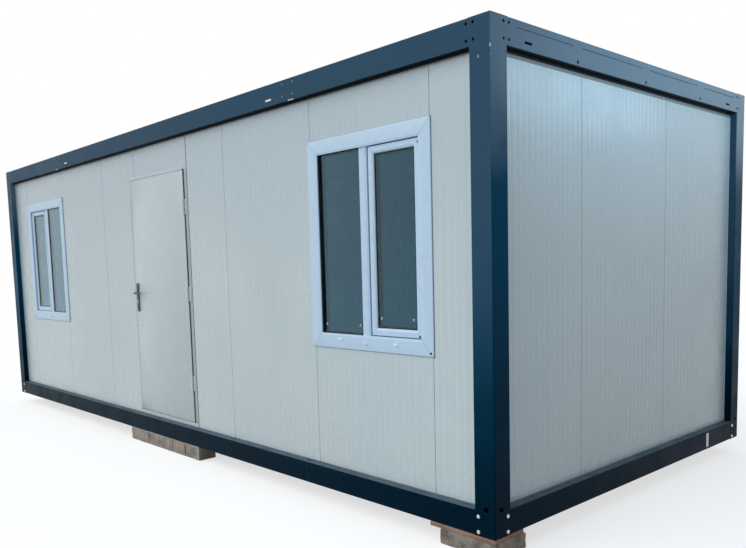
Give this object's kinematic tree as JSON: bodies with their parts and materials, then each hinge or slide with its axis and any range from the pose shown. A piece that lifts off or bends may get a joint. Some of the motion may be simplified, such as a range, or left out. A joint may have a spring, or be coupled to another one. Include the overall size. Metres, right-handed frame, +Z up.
{
  "type": "portable site cabin",
  "caption": "Bolted steel-framed site cabin with sandwich-panel walls, a hinged door between windows in the long front, resting on low blocks.",
  "frame": {"origin": "on the ground, under the middle of the cabin", "axes": "+X along the long front wall towards the plain end, +Y from the front wall to the back, +Z up"},
  "size_m": [7, 3, 2.66],
  "materials": {
    "frame_steel": "dark blue-grey enamel on cold-formed steel",
    "inner_steel": "grey primer",
    "wall_panel": "grey-white coil-coated steel skin, micro-ribbed, satin",
    "window_profile": "white PVC profile",
    "window_glass": "clear double glazing",
    "door_frame": "grey-white painted steel",
    "door_leaf": "grey-white painted steel, smooth",
    "hinge": "pale painted steel",
    "handle": "black moulded plastic over steel",
    "floor_board": "grey vinyl on board",
    "ceiling": "white coated liner",
    "roof_sheet": "galvanised sheet with standing seams",
    "timber": "weathered plank",
    "shim": "pale weathered packing board",
    "block": "weathered concrete block, grey and pinkish"
  },
  "bodies": {
    "cabin": {"corner_post_front_left": "frame_steel", "corner_post_front_right": "frame_steel", "corner_post_back_left": "frame_steel", "corner_post_back_right": "frame_steel", "front_top_beam": "frame_steel", "back_top_beam": "frame_steel", "front_bottom_beam": "frame_steel", "back_bottom_beam": "frame_steel", "left_end_top_beam": "frame_steel", "right_end_top_beam": "frame_steel", "left_end_bottom_beam": "frame_steel", "right_end_bottom_beam": "frame_steel", "floor_joists": "inner_steel", "roof_purlins": "inner_steel", "front_panel_left_edge": "wall_panel", "front_panel_left_window": "wall_panel", "front_panel_left_plain": "wall_panel", "front_panel_beside_latch": "wall_panel", "front_panel_beside_hinges": "wall_panel", "front_panel_right_plain": "wall_panel", "front_panel_right_window": "wall_panel", "front_panel_right_edge": "wall_panel", "over_door_panels": "wall_panel", "left_end_wall_panels": "wall_panel", "right_end_wall_panels": "wall_panel", "back_wall_panels": "wall_panel", "window_frame_left": "window_profile", "window_frame_right": "window_profile", "window_sash_left": "window_profile", "window_sash_right": "window_profile", "window_glass_left": "window_glass", "window_glass_right": "window_glass", "door_frame": "door_frame", "hinge_frame_halves": "hinge", "floor_board": "floor_board", "ceiling_board": "ceiling", "roof_sheet": "roof_sheet", "corner_planks": "timber", "middle_shims": "shim", "corner_blocks": "block", "middle_blocks": "block"},
    "door": {"door_leaf": "door_leaf", "hinge_leaf_halves": "hinge", "handle_plates": "handle"},
    "lever": {"handle_lever": "handle"}
  },
  "joints": [
    {"name": "door_swing", "type": "hinge", "parent": "cabin", "child": "door", "pos_m": [0.481, -1.458, 1.3], "axis": [0, 0, 1], "range_deg": [0, 110]},
    {"name": "lever_turn", "type": "hinge", "parent": "door", "child": "lever", "pos_m": [-0.396, -1.43, 1.306], "axis": [0, 1, 0], "range_deg": [0, 40], "stiffness_Nm_per_rad": 3, "springref_deg": -28.65}
  ]
}
